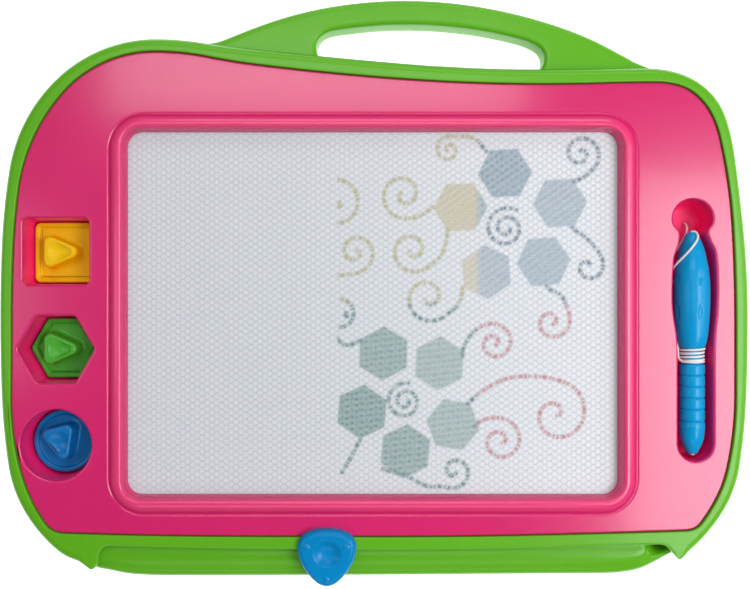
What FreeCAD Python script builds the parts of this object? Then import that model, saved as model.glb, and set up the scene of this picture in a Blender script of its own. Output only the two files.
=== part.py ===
"""Magnetic drawing board: green tray with a carry handle, pink bezel, honeycomb screen, eraser slide,
three magnetic stamps in pockets and a pen on a cord.

The board lies on its back. +X runs to the right, +Y up the board towards the handle, +Z out of the
drawing face. The origin is the middle of the board's box on the surface it lies on. Millimetres.
"""
import FreeCAD, Part
import math
import os

Vector = FreeCAD.Vector
UP = Vector(0, 0, 1)

# Heights above the surface the board lies on
FLOOR_T = 2.0            # back wall of the tray
Z_PLATE_LOW = 22.0       # underside of the bezel plate, and the ledge it sits on
Z_PLATE = 24.0           # face of the bezel plate
Z_RIM = 25.5             # top of the green rim
Z_CREST = 27.0           # crest of the moulding round the screen
Z_SCREEN = 19.5          # face of the screen
Z_SHELF = 19.5           # slide shelf in front of the bottom rim
Z_HANDLE = (2.0, 15.5)   # back and front of the handle

# Outline of the rim: x, y and heading in degrees at the points where its curvature changes
RIM_RUN = [(-147.6, -146.4, 157), (-165.1, -136.5, 140), (-190.8, -92, 98.5), (-195, -14, 90),
           (-190.3, 62, 81), (-114, 130.2, 0), (-66, 125.1, -6), (90, 114.3, 0), (143, 114.9, 0),
           (173.6, 104.2, -42), (187.9, 71, -82), (195, -14, -90), (190.8, -92, -98.5),
           (164.8, -136.4, -139), (158.6, -141.2, -145)]
STEP_RUN = [(158.6, -141.2, 138), (150.5, -133, 181.8), (5, -135.3, 180), (-139.5, -133.2, 178.2),
            (-145.4, -140, -95), (-147.6, -146.4, -110)]
PLATE_RUN = [(-161.5, -126.9, 178), (-170.3, -122.6, 127), (-183.7, -94, 105), (-188.3, -16, 90),
             (-184.8, 51.2, 82.5), (-114, 123.3, 0), (-60, 116.3, -7), (88.7, 106.4, 0), (146, 107.3, 0),
             (166.5, 101.2, -39), (179.4, 79, -77), (187.7, -18, -90), (183.3, -94, -103),
             (169.6, -122, -127), (161.8, -125.7, -178), (5, -128.8, 180)]
PLATE_GAP = 0.25         # between the bezel plate and the rim
LEDGE = 1.2              # width of the ledge under the plate's edge
HANDLE_RUN = [(-92, 129.4, 10), (-62, 139.7, 20.5), (16, 153.5, 0), (100, 139.1, -19), (146, 116.5, -30.5)]
GRIP_RUN = [(-26, 118, 125), (-30.8, 128.2, 90), (-22, 137.2, 9), (17, 140.4, 0), (78, 132.6, -15),
            (90.4, 122.3, -90), (86, 112, -110)]

# Slide shelf and the slot over it
SHELF_X = (-146.0, 158.0)
SHELF_FRONT = -152.9
SHELF_RADIUS = 10.0
SHELF_RUN = [(-146.0, -128), (-146.0, -149.6), (-131, -153.0), (134.5, -153.0), (149, -148.0),
             (158.0, -143.6), (158.0, -128)]
SHELF_BACK = -128
SLOT_X = (-139.0, 150.0)
SLOT_Z = (19.6, 22.0)
SLOT_Y = (-137.5, -124.0)

# Screen window and the moulding round it: low x, high x, low y, high y, corner radius
WINDOW = (-129.2, 127.6, -107.7, 82.1, 7.9)
MOULDING = (-138.9, 137.7, -118.3, 91.9, 19.7)
WINDOW_DRAFT = 1.5
MOULDING_ROUND = 2.8
SKIRT_T = 2.2

# Screen sandwich, from the face down: film, cell layer, back film, frame
FILM_T = 0.5
CELLS_T = 1.1
BACK_FILM_T = 0.3
FRAME_T = 2.2
FRAME_WALL = 1.6
FRAME_INNER = 0.9        # the frame's opening is this much larger than the window
SCREEN_MARGIN = 4.0

# Stamp pockets and stamps
POCKET_X = -165.4
POCKET_FLOOR = 5.5
POCKET_WALL = 1.4
SQUARE_Y = 19.4
HEX_Y = -31.6
ROUND_Y = -81.3
SQUARE_POCKET = 34.4
HEX_POCKET = 34.6        # across flats
ROUND_POCKET_R = 18.4
SQUARE_STAMP = 32.0
HEX_STAMP = 31.6
ROUND_STAMP_R = 16.7
MAGNET_T = 1.4
MAGNET_INSET = 0.8
STAMP_PLATE_T = 2.3
STAMP_LIP_T = 1.4
STAMP_LIP_W = 2.6
STAMP_TOP = 18.6
GRIP_LENGTH = 17.4
GRIP_WIDTH = 16.2
GRIP_CORNER = 3.4
DISH_RADIUS = 14.0
DISH_DEPTH = 1.4
GRIP_ROUND = 1.2
SQUARE_CORNER = 3.0
HEX_CORNER = 2.5
ROUND_TOWARDS = -75      # degrees, point of the round stamp's grip

# Pen recess, pen and cord
RECESS_RUN = [(155.2, -3, 90), (155.8, 13, 86), (159, 28, 90), (155.3, 36.1, 90), (165.5, 46.4, 0),
              (175.8, 36.1, -90), (173, 28.3, -78), (177.2, 16.5, -84), (178, -3, -91), (176.1, -34, -90),
              (176.1, -80.7, -90), (167, -89.8, 180), (157.9, -80.7, 90), (157.9, -34, 90)]
RECESS_FLOOR = 6.2
RECESS_WALL = 1.6
CORD_HOLE = (167.5, 35.4)
PEN_X = 167.5
PEN_Z = 17.2
CORD_D = 1.25
KNOT_R = 1.3
KNOT_T = 1.8
NECK_R = 5.2             # pen neck under the cord's turns
WRAP_Y = (-39.6, -31.0)
BARREL_RUN = [(30.2, 0.0), (29.7, 2.0), (27.6, 3.7), (20.5, 6.3), (10.0, 8.4), (-1.0, 9.15), (-12.0, 8.95),
              (-22.0, 8.3), (-27.5, 7.4), (-31.0, 6.5)]
GRIP_R = 6.45
GRIP_Y = (-39.6, -74.5)
RING_Y = (-45.4, -51.2, -57.2, -63.2, -69.4)
RING_DEPTH = 0.45
RING_W = 0.9
NOSE_Y = -86.6
NOSE_R = 2.2
TIP_R = 1.75
TIP_Y = -87.9
TIP_ROUND = 0.5
TIP_SUNK = 5.0
SPIGOT_R = 4.0           # barrel's spigot inside the grip
SPIGOT_LENGTH = 12.0
SWELL = (-70.8, -72.3, 0.15)      # where the grip starts to swell, where it is widest, and by how much
SHOULDER = (-79.5, 4.9)
NOSE_ROUND = 0.55

# The cord leaves the recess floor, runs beside the pen and is wound round its neck ...
LEAD = [(167.5, 35.4, 6.3), (167.9, 34.3, 9.3), (167.2, 29.5, 10.6), (164.0, 23.5, 9.4),
        (160.0, 16.5, 7.8), (157.4, 8.0, 7.4), (156.7, -2.0, 7.6), (156.8, -12.0, 9.4),
        (157.4, -20.0, 13.2), (158.8, -26.4, 16.8), (160.1, -31.0, 17.3), (160.6, -33.0, 17.3)]
# ... then passes under the pen, over its tail and into the end of the barrel
RETURN = [(173.6, -32.3, 16.3), (174.9, -30.5, 15.6), (175.7, -25.2, 13.8), (175.5, -17.0, 10.4),
          (171.5, -8.5, 7.3), (164.6, -1.0, 7.2), (159.2, 5.0, 9.3), (157.6, 9.4, 14.0),
          (158.8, 13.4, 19.6), (162.4, 18.2, 24.0), (166.4, 23.0, 24.0), (169.2, 26.6, 21.9),
          (169.0, 29.8, 19.6), (166.8, 30.4, 18.2), (165.6, 27.6, 17.2)]

# Eraser: knob, carriage with its arm through the slot, and the magnet strip behind the screen
ERASER_X = -24.4
KNOB_Y = (-153.5, -123.8)
KNOB_W = 31.4
KNOB_CORNER = 9.0
KNOB_Z = (25.9, 30.2)
KNOB_ROUND = 2.4
KNOB_SKIRT_Y = -136.4
KNOB_DISH_R = 24.0
KNOB_DISH_DEPTH = 1.8
KNOB_DISH_SHIFT = 1.5    # the dish sits this far behind the middle
ARM_W = 10.0
ARM_Z = (20.0, 21.7)
ARM_Y = (-148.0, -121.0)
RISER_Y = -125.5
BAR_W = 12.0
BAR_Z = (10.0, 15.1)
BAR_Y = (-125.5, 97.0)
PEG_R = 3.0
PEG_Y = -142.5
STRIP_W = 9.0
STRIP_Y = (-105.0, 79.4)
STRIP_TOP = 17.4
RIBS_Y = (-113.0, 91.0)
RIB_T = 2.0
RIB_X = (-139.0, 139.0)
RIB_GAP = 0.1            # under the eraser's sliding bar

# Case screws, from the back through the tray into the bezel's bosses
SCREWS = [(-150, 98), (0, 103.2), (150, 94), (-143.6, -6), (-143.6, -56), (146, 58), (146, -58),
          (-160, -113), (160, -110)]
BOSS_R = 4.4
BOSS_SPLIT = 9.5
HEAD_R = 3.0
HEAD_Z = (0.9, 2.9)
SCREW_R = 1.25
SCREW_END = 17.0
SCREW_CROSS = (0.45, 1.7, 1.2)    # half width, half length and depth of the cross in a head
INNER_BOSS_R = 3.5
CLEARANCE = 0.3
SUNK = 0.5               # how far joined solids run into each other


def heading(degrees):
    return Vector(math.cos(math.radians(degrees)), math.sin(math.radians(degrees)), 0)


def arc(start, direction, end):
    """The arc that leaves start along direction and reaches end, or a line where it is flat."""
    chord = end - start
    turn = math.atan2(direction.x * chord.y - direction.y * chord.x, direction.dot(chord))
    if abs(turn) < 1e-5:
        return Part.LineSegment(start, end).toShape()
    middle = start + chord * 0.5 - Vector(-chord.y, chord.x, 0) * (0.5 * math.tan(turn / 2))
    return Part.Arc(start, middle, end).toShape()


def biarc(a, b):
    """Two tangent arcs from knot a to knot b, each knot being x, y and heading."""
    p, q = Vector(a[0], a[1], 0), Vector(b[0], b[1], 0)
    s, t = heading(a[2]), heading(b[2])
    v, both = q - p, s + t
    k = 2 * (1 - s.dot(t))
    if k < 1e-9:
        d = v.dot(v) / (4 * v.dot(t))
    else:
        d = (math.sqrt(v.dot(both) ** 2 + k * v.dot(v)) - v.dot(both)) / k
    joint = (p + q + (s - t) * d) * 0.5
    second = arc(q, t * -1, joint)
    return [arc(p, s, joint), second]


def run_edges(knots):
    edges = []
    for a, b in zip(knots, knots[1:]):
        edges += biarc(a, b)
    return edges


def closed(edges):
    """One closed wire through edges that follow each other."""
    return Part.Wire(Part.__sortEdges__(edges))


def loop(knots):
    return closed(run_edges(knots + knots[:1]))


def polygon(points, corner=0.0):
    """A closed polygon grown by corner, which rounds its corners."""
    wire = Part.makePolygon([Vector(x, y, 0) for x, y in points + points[:1]])
    return wire.makeOffset2D(corner) if corner else wire


def prism(wire, low, high):
    face = Part.Face(wire)
    face.translate(UP * low)
    return face.extrude(UP * (high - low))


def box(x, y, z):
    return Part.makeBox(x[1] - x[0], y[1] - y[0], z[1] - z[0], Vector(x[0], y[0], z[0]))


def cylinder(radius, x, y, low, high):
    return Part.makeCylinder(radius, high - low, Vector(x, y, low))


def rounded(low_x, high_x, low_y, high_y, radius):
    points = [(low_x + radius, low_y + radius), (high_x - radius, low_y + radius),
              (high_x - radius, high_y - radius), (low_x + radius, high_y - radius)]
    return polygon(points, radius)


def grown(rect, by):
    return (rect[0] - by, rect[1] + by, rect[2] - by, rect[3] + by, rect[4] + by)


def circle(x, y, radius):
    return Part.Wire(Part.Circle(Vector(x, y, 0), UP, radius).toShape())


def hexagon(x, y, flats, corner):
    """A hexagon with two of its corners on the X axis and the given size across flats."""
    reach = (flats / 2 - corner) / math.cos(math.pi / 6)
    angles = [math.pi / 3 * k for k in range(6)]
    return polygon([(x + reach * math.cos(a), y + reach * math.sin(a)) for a in angles], corner)


def triangle(x, y, length, width, corner, towards):
    """A rounded triangle whose point is towards an angle; x, y is the middle of its box."""
    nose, back, side = length / 2 - corner, corner - length / 2, width / 2 - corner
    c, s = math.cos(math.radians(towards)), math.sin(math.radians(towards))
    points = [(nose, 0), (back, side), (back, -side)]
    return polygon([(x + u * c - v * s, y + u * s + v * c) for u, v in points], corner)


def edges_at(shape, z):
    return [e for e in shape.Edges if abs(e.BoundBox.ZMin - z) < 1e-4 and abs(e.BoundBox.ZMax - z) < 1e-4]


def handle():
    """Handle plate behind the rim, with its finger hole."""
    feet = [Vector(146, 116.5, 0), Vector(140, 100, 0), Vector(-88, 112, 0), Vector(-92, 129.4, 0)]
    ends = [Part.LineSegment(a, b).toShape() for a, b in zip(feet, feet[1:])]
    blank = prism(closed(run_edges(HANDLE_RUN) + ends), *Z_HANDLE)
    foot = Part.LineSegment(Vector(*GRIP_RUN[-1][:2]), Vector(*GRIP_RUN[0][:2])).toShape()
    return blank.cut(prism(closed(run_edges(GRIP_RUN) + [foot]), Z_HANDLE[0] - 1, Z_HANDLE[1] + 1))


def shelf():
    """Slide shelf: a convex nose carried along X and trimmed by its own footprint."""
    nose = SHELF_FRONT + SHELF_RADIUS
    drop = SHELF_RADIUS * (1 - math.cos(math.pi / 4))
    front = [Vector(0, SHELF_FRONT, 0), Vector(0, SHELF_FRONT, Z_SHELF - SHELF_RADIUS),
             Vector(0, nose, Z_SHELF), Vector(0, SHELF_BACK, Z_SHELF), Vector(0, SHELF_BACK, 0)]
    lines = [Part.LineSegment(a, b).toShape() for a, b in ((front[0], front[1]), (front[2], front[3]),
                                                           (front[3], front[4]), (front[4], front[0]))]
    curve = Part.Arc(front[1], Vector(0, SHELF_FRONT + drop, Z_SHELF - drop), front[2]).toShape()
    face = Part.Face(closed(lines + [curve]))
    face.translate(Vector(SHELF_X[0], 0, 0))
    bar = face.extrude(Vector(SHELF_X[1] - SHELF_X[0], 0, 0))
    return bar.common(prism(polygon(SHELF_RUN), 0, Z_SHELF))


def make_tray():
    plate = loop(PLATE_RUN)
    tray = prism(closed(run_edges(RIM_RUN) + run_edges(STEP_RUN)), 0, Z_RIM)
    tray = tray.fuse(shelf()).fuse(handle())
    tray = tray.cut(prism(plate, Z_PLATE_LOW, Z_RIM + 1))
    tray = tray.cut(prism(plate.makeOffset2D(-LEDGE), FLOOR_T, Z_PLATE_LOW))
    for y in RIBS_Y:
        tray = tray.fuse(box(RIB_X, (y - RIB_T / 2, y + RIB_T / 2), (SUNK, BAR_Z[0] - RIB_GAP)))
    for x, y in SCREWS:
        tray = tray.fuse(cylinder(BOSS_R, x, y, SUNK, BOSS_SPLIT))
        tray = tray.cut(cylinder(HEAD_R + CLEARANCE, x, y, -1, HEAD_Z[1]))
        tray = tray.cut(cylinder(SCREW_R + CLEARANCE, x, y, 0, BOSS_SPLIT + 1))
    relief = ROUND_POCKET_R + POCKET_WALL + CLEARANCE
    tray = tray.cut(cylinder(relief, POCKET_X, ROUND_Y, FLOOR_T, Z_PLATE_LOW))
    return tray.cut(box(SLOT_X, SLOT_Y, SLOT_Z)).removeSplitter()


def pocket(wire, floor, wall):
    """The outside of a pocket moulded into the bezel."""
    return prism(wire.makeOffset2D(wall), floor - wall, Z_PLATE_LOW + SUNK)


def pockets():
    """Outline and floor height of each hollow in the bezel's face."""
    half = SQUARE_POCKET / 2
    square = rounded(POCKET_X - half, POCKET_X + half, SQUARE_Y - half, SQUARE_Y + half, SQUARE_CORNER)
    return [(square, POCKET_FLOOR, POCKET_WALL),
            (hexagon(POCKET_X, HEX_Y, HEX_POCKET, HEX_CORNER), POCKET_FLOOR, POCKET_WALL),
            (circle(POCKET_X, ROUND_Y, ROUND_POCKET_R), POCKET_FLOOR, POCKET_WALL),
            (loop(RECESS_RUN), RECESS_FLOOR, RECESS_WALL)]


def make_bezel():
    plate = prism(loop(PLATE_RUN).makeOffset2D(-PLATE_GAP), Z_PLATE_LOW, Z_PLATE)
    moulding = prism(rounded(*MOULDING), Z_PLATE_LOW, Z_CREST)
    moulding = moulding.makeFillet(MOULDING_ROUND, edges_at(moulding, Z_CREST))
    skirt = prism(rounded(*grown(WINDOW, SKIRT_T)), Z_SCREEN, Z_PLATE_LOW + SUNK)
    bezel = plate.fuse([moulding, skirt])
    for x, y in SCREWS:
        bezel = bezel.fuse(cylinder(INNER_BOSS_R, x, y, BOSS_SPLIT, Z_PLATE_LOW + SUNK))
        bezel = bezel.cut(cylinder(SCREW_R, x, y, BOSS_SPLIT - 1, SCREW_END + SUNK))
    for wire, floor, wall in pockets():
        bezel = bezel.fuse(pocket(wire, floor, wall))
    for wire, floor, wall in pockets():
        bezel = bezel.cut(prism(wire, floor, Z_CREST + 1))
    low, high = rounded(*WINDOW), rounded(*grown(WINDOW, WINDOW_DRAFT))
    low.translate(UP * (Z_SCREEN - 0.001))
    high.translate(UP * (Z_CREST + 0.001))
    bezel = bezel.cut(Part.makeLoft([low, high], True))
    return bezel.cut(cylinder(CORD_D / 2, *CORD_HOLE, 0, RECESS_FLOOR + 1)).removeSplitter()


def screen_layer(high, thickness):
    return prism(rounded(*grown(WINDOW, SCREEN_MARGIN)), high - thickness, high)


def make_screen_film():
    return screen_layer(Z_SCREEN, FILM_T)


def make_cell_layer():
    return screen_layer(Z_SCREEN - FILM_T, CELLS_T)


def make_back_film():
    return screen_layer(Z_SCREEN - FILM_T - CELLS_T, BACK_FILM_T)


def make_screen_frame():
    """Frame that clamps the screen against the bezel's skirt, with a wall up to the bezel plate."""
    high = Z_SCREEN - FILM_T - CELLS_T - BACK_FILM_T
    edge = SCREEN_MARGIN + CLEARANCE
    frame = prism(rounded(*grown(WINDOW, edge + FRAME_WALL)), high - FRAME_T, Z_PLATE_LOW)
    frame = frame.cut(prism(rounded(*grown(WINDOW, edge)), high, Z_PLATE_LOW + 1))
    return frame.cut(prism(rounded(*grown(WINDOW, FRAME_INNER)), high - FRAME_T - 1, high + 1))


def make_case_screws():
    narrow, long, depth = SCREW_CROSS
    screws = []
    for x, y in SCREWS:
        screw = cylinder(HEAD_R, x, y, *HEAD_Z).fuse(cylinder(SCREW_R, x, y, HEAD_Z[1], SCREW_END))
        for across, along in ((narrow, long), (long, narrow)):
            slot = box((x - across, x + across), (y - along, y + along),
                       (HEAD_Z[0] - 1, HEAD_Z[0] + depth))
            screw = screw.cut(slot)
        screws.append(screw)
    return Part.makeCompound(screws)


def make_cord_anchor():
    """Knot under the recess floor, with the short piece of cord in the hole."""
    x, y = CORD_HOLE
    under = RECESS_FLOOR - RECESS_WALL
    knot = cylinder(KNOT_R, x, y, under - KNOT_T, under)
    return knot.fuse(cylinder(CORD_D / 2, x, y, under - SUNK, RECESS_FLOOR - CLEARANCE)).removeSplitter()


def make_eraser_carriage():
    half, arm = BAR_W / 2, ARM_W / 2
    bar = box((ERASER_X - half, ERASER_X + half), BAR_Y, BAR_Z)
    riser = box((ERASER_X - arm, ERASER_X + arm), (RISER_Y, ARM_Y[1]), (BAR_Z[0], ARM_Z[1]))
    reach = box((ERASER_X - arm, ERASER_X + arm), ARM_Y, ARM_Z)
    peg = cylinder(PEG_R, ERASER_X, PEG_Y, ARM_Z[0], KNOB_Z[0] + 1)
    return bar.fuse([riser, reach, peg]).removeSplitter()


def make_eraser_magnet():
    half = STRIP_W / 2
    return box((ERASER_X - half, ERASER_X + half), STRIP_Y, (BAR_Z[1], STRIP_TOP))


def make_eraser_knob():
    """Rounded triangular knob pointing away from the screen, with a dished face and three studs."""
    centre = (KNOB_Y[0] + KNOB_Y[1]) / 2
    wire = triangle(ERASER_X, centre, KNOB_Y[1] - KNOB_Y[0], KNOB_W, KNOB_CORNER, -90)
    cap = prism(wire, *KNOB_Z)
    cap = cap.makeFillet(KNOB_ROUND, edges_at(cap, KNOB_Z[1]))
    front = box((ERASER_X - KNOB_W, ERASER_X + KNOB_W), (KNOB_Y[0] - 1, KNOB_SKIRT_Y),
                (ARM_Z[1], KNOB_Z[0]))
    skirt = prism(wire, ARM_Z[1], KNOB_Z[0]).common(front)
    dish_z = KNOB_Z[1] + KNOB_DISH_R - KNOB_DISH_DEPTH
    dish = Part.makeSphere(KNOB_DISH_R, Vector(ERASER_X, centre + KNOB_DISH_SHIFT, dish_z))
    knob = cap.fuse(skirt).cut(dish)
    return knob.cut(cylinder(PEG_R, ERASER_X, PEG_Y, 0, KNOB_Z[0] + 1)).removeSplitter()


def stamp(wire, y, towards):
    """Stamp cap: plate with a raised lip and a triangular grip with a dished top."""
    low = POCKET_FLOOR + MAGNET_T
    plate = prism(wire, low, low + STAMP_PLATE_T + STAMP_LIP_T)
    inside = wire.makeOffset2D(-STAMP_LIP_W)
    plate = plate.cut(prism(inside, low + STAMP_PLATE_T, low + STAMP_PLATE_T + STAMP_LIP_T + 1))
    corners = triangle(POCKET_X, y, GRIP_LENGTH, GRIP_WIDTH, GRIP_CORNER, towards)
    grip = prism(corners, low + SUNK, STAMP_TOP)
    grip = grip.makeFillet(GRIP_ROUND, edges_at(grip, STAMP_TOP))
    dish = Part.makeSphere(DISH_RADIUS, Vector(POCKET_X, y, STAMP_TOP + DISH_RADIUS - DISH_DEPTH))
    return plate.fuse(grip).cut(dish).removeSplitter()


def stamp_magnet(wire):
    return prism(wire.makeOffset2D(-MAGNET_INSET), POCKET_FLOOR, POCKET_FLOOR + MAGNET_T)


def stamp_outlines():
    half = SQUARE_STAMP / 2
    square = rounded(POCKET_X - half, POCKET_X + half, SQUARE_Y - half, SQUARE_Y + half, SQUARE_CORNER)
    return {"square": (square, SQUARE_Y, 0),
            "hexagon": (hexagon(POCKET_X, HEX_Y, HEX_STAMP, HEX_CORNER), HEX_Y, 0),
            "round": (circle(POCKET_X, ROUND_Y, ROUND_STAMP_R), ROUND_Y, ROUND_TOWARDS)}


def turned(profile):
    """A solid of revolution about the pen's axis from (y, radius) points or edges."""
    face = Part.Face(profile)
    face.translate(Vector(PEN_X, 0, PEN_Z))
    return face.revolve(Vector(PEN_X, 0, PEN_Z), Vector(0, 1, 0), 360)


def pen_ring(y, radius, depth, width):
    low = Vector(PEN_X, y - width / 2, PEN_Z)
    ring = Part.makeCylinder(radius + 1, width, low, Vector(0, 1, 0))
    return ring.cut(Part.makeCylinder(radius - depth, width, low, Vector(0, 1, 0)))


def make_pen_barrel():
    """Bulbous upper barrel with the neck that takes the cord's turns and a spigot into the grip."""
    curve = Part.BSplineCurve()
    curve.interpolate([Vector(r, y, 0) for y, r in BARREL_RUN])
    foot = [(BARREL_RUN[-1][1], WRAP_Y[1]), (NECK_R, WRAP_Y[1]), (NECK_R, GRIP_Y[0]),
            (SPIGOT_R, GRIP_Y[0]), (SPIGOT_R, GRIP_Y[0] - SPIGOT_LENGTH),
            (0, GRIP_Y[0] - SPIGOT_LENGTH), (0, BARREL_RUN[0][0])]
    corners = [Vector(r, y, 0) for r, y in foot]
    lines = [Part.LineSegment(a, b).toShape() for a, b in zip(corners, corners[1:])]
    return turned(Part.Wire([curve.toShape()] + lines))


def make_pen_grip():
    """Lower sleeve with five ring grooves, a slight swell and the nose."""
    top, end = GRIP_Y
    swell_from, swell_y, swell = SWELL
    inside, deep = NOSE_Y + TIP_SUNK, top - SPIGOT_LENGTH
    points = [(SPIGOT_R, top), (GRIP_R, top), (GRIP_R, swell_from), (GRIP_R + swell, swell_y),
              (GRIP_R, end), (SHOULDER[1], SHOULDER[0]),
              (NOSE_R + NOSE_ROUND, NOSE_Y + NOSE_ROUND), (NOSE_R, NOSE_Y),
              (TIP_R, NOSE_Y), (TIP_R, inside), (0, inside), (0, deep), (SPIGOT_R, deep)]
    grip = turned(Part.makePolygon([Vector(r, y, 0) for r, y in points + points[:1]]))
    for y in RING_Y:
        grip = grip.cut(pen_ring(y, GRIP_R, RING_DEPTH, RING_W))
    return grip


def make_pen_tip():
    tip = Part.makeCylinder(TIP_R, NOSE_Y + TIP_SUNK - TIP_Y, Vector(PEN_X, TIP_Y, PEN_Z), Vector(0, 1, 0))
    end = [e for e in tip.Edges if abs(e.BoundBox.YMax - TIP_Y) < 1e-4]
    return tip.makeFillet(TIP_ROUND, end)


def tube(points):
    """Round tube along straight runs joined by tangent arcs; prints its arcs' radii and its volume."""
    corners = [Vector(*p) for p in points]
    edges, radii, at = [], [], corners[0]
    for before, here, after in zip(corners, corners[1:], corners[2:]):
        back, ahead = (before - here).normalize(), (after - here).normalize()
        cut = 0.45 * min(here.distanceToPoint(before), here.distanceToPoint(after))
        half = back.getAngle(ahead) / 2
        radius = cut * math.tan(half)
        radii.append(radius)
        bisector = (back + ahead).normalize()
        centre = here + bisector * (radius / math.sin(half))
        start, end = here + back * cut, here + ahead * cut
        edges.append(Part.LineSegment(at, start).toShape())
        edges.append(Part.Arc(start, centre - bisector * radius, end).toShape())
        at = end
    edges.append(Part.LineSegment(at, corners[-1]).toShape())
    path = Part.Wire(edges)
    section = Part.Wire(Part.Circle(corners[0], corners[1] - corners[0], CORD_D / 2).toShape())
    solid = path.makePipeShell([section], True, False)
    expected = math.pi * CORD_D ** 2 / 4 * path.Length
    print("tube length %.1f, volume %.2f of %.2f, radii" % (path.Length, solid.Volume, expected),
          ["%.1f" % r for r in radii])
    return solid


def make_cord_wraps():
    """Outer shape of the cord's turns round the pen's neck."""
    low = Vector(PEN_X, WRAP_Y[0], PEN_Z)
    length = WRAP_Y[1] - WRAP_Y[0]
    turns = Part.makeCylinder(NECK_R + CORD_D, length, low, Vector(0, 1, 0))
    return turns.cut(Part.makeCylinder(NECK_R, length, low, Vector(0, 1, 0)))


def main():
    os.makedirs("parts", exist_ok=True)
    nodes = {"tray": make_tray(), "bezel": make_bezel(), "screen_film": make_screen_film(),
             "cell_layer": make_cell_layer(), "back_film": make_back_film(),
             "screen_frame": make_screen_frame(), "case_screws": make_case_screws(),
             "cord_anchor": make_cord_anchor(), "eraser_carriage": make_eraser_carriage(),
             "eraser_magnet": make_eraser_magnet(), "eraser_knob": make_eraser_knob(),
             "pen_barrel": make_pen_barrel(), "pen_grip": make_pen_grip(), "pen_tip": make_pen_tip(),
             "cord_lead": tube(LEAD), "cord_wraps": make_cord_wraps(), "cord_return": tube(RETURN)}
    for name, (wire, y, towards) in stamp_outlines().items():
        nodes["stamp_" + name] = stamp(wire, y, towards)
        nodes["stamp_" + name + "_magnet"] = stamp_magnet(wire)
    for name, shape in nodes.items():
        print(name, shape.ShapeType, shape.isValid(), len(shape.Solids), "%.0f mm3" % shape.Volume)
        shape.exportStep("parts/%s.step" % name)


main()
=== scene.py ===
import math

import bmesh
import bpy
import numpy as np
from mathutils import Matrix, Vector
from mathutils.geometry import tessellate_polygon


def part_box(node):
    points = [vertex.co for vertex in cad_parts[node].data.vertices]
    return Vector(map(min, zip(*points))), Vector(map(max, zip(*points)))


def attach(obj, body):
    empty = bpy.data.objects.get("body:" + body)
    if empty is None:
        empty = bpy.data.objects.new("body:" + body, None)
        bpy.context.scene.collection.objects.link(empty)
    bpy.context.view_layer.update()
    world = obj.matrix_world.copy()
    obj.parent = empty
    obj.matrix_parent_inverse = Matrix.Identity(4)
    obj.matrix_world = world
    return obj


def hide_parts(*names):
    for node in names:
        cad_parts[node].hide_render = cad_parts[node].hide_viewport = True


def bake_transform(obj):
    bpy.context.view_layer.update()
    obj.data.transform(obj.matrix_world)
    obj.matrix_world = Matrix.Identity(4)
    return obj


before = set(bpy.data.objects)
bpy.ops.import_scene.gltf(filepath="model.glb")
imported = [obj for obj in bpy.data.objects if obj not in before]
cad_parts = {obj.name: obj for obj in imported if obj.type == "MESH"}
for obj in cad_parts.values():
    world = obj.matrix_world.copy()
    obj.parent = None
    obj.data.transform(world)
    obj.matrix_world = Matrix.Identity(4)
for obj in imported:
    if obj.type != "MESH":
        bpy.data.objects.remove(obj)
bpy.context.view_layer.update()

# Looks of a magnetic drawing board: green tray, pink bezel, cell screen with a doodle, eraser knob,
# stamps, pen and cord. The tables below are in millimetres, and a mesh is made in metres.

MM = 0.001
TAU = 2 * math.pi


def low(node):
    return np.array(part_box(node)[0]) / MM


def high(node):
    return np.array(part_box(node)[1]) / MM


# ---- heights and outlines, from the frame
Z_RIM = high("tray")[2]
Z_PLATE = 24.0
Z_LEDGE = 22.0
Z_SCREEN = high("screen_film")[2]
Z_SHELF = Z_SCREEN
FLOOR_T = 2.0
Z_HANDLE = (2.0, 15.5)
RIM_ROUND = 4.4
RIM_RUN = [(-147.3, -145.2, 152), (-165.1, -136.5, 140), (-190.8, -92, 98.5), (-195, -14, 90),
           (-190.3, 62, 81), (-114, 130.2, 0), (-66, 125.1, -6), (90, 114.3, 0), (143, 114.9, 0),
           (173.6, 104.2, -42), (187.9, 71, -82), (195, -14, -90), (190.8, -92, -98.5),
           (164.8, -136.4, -139), (159.8, -140.1, -146), (157.0, -139.6, 125)]
STEP_RUN = [(157.0, -139.6, 125), (152.8, -134.6, 132), (147, -132.6, 181), (5, -135.3, 180),
            (-137.5, -133.2, 178.2), (-143.4, -140.6, -93), (-144.0, -143.2, -100),
            (-147.3, -145.2, 152)]
PLATE_RUN = [(-161.5, -126.9, 178), (-170.3, -122.6, 127), (-183.7, -94, 105), (-188.3, -16, 90),
             (-184.8, 51.2, 82.5), (-114, 123.3, 0), (-60, 116.3, -7), (88.7, 106.4, 0), (146, 107.3, 0),
             (166.5, 101.2, -39), (179.4, 79, -77), (187.7, -18, -90), (183.3, -94, -103),
             (169.6, -122, -127), (161.8, -125.7, -178), (5, -128.8, 180)]
PLATE_GAP = 0.25
HANDLE_RUN = [(-92, 129.4, 10), (-62, 139.7, 20.5), (16, 153.5, 0), (100, 139.1, -19),
              (146, 116.5, -30.5)]
HANDLE_FEET = [(140, 108), (-88, 118)]
GRIP_RUN = [(-26, 118, 125), (-30.8, 128.2, 90), (-22, 137.2, 9), (17, 140.4, 0), (78, 132.6, -15),
            (90.4, 122.3, -90), (86, 112, -110)]
WINDOW = np.array([-129.2, 127.6, -107.7, 82.1, 7.9])
MOULDING = np.array([-138.9, 137.7, -118.3, 91.9, 19.7])
RECESS_RUN = [(155.2, -3, 90), (155.8, 13, 86), (159, 28, 90), (155.3, 36.1, 90), (165.5, 46.4, 0),
              (175.8, 36.1, -90), (173, 28.3, -78), (177.2, 16.5, -84), (178, -3, -91), (176.1, -34, -90),
              (176.1, -80.7, -90), (167, -89.8, 180), (157.9, -80.7, 90), (157.9, -34, 90)]
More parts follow.
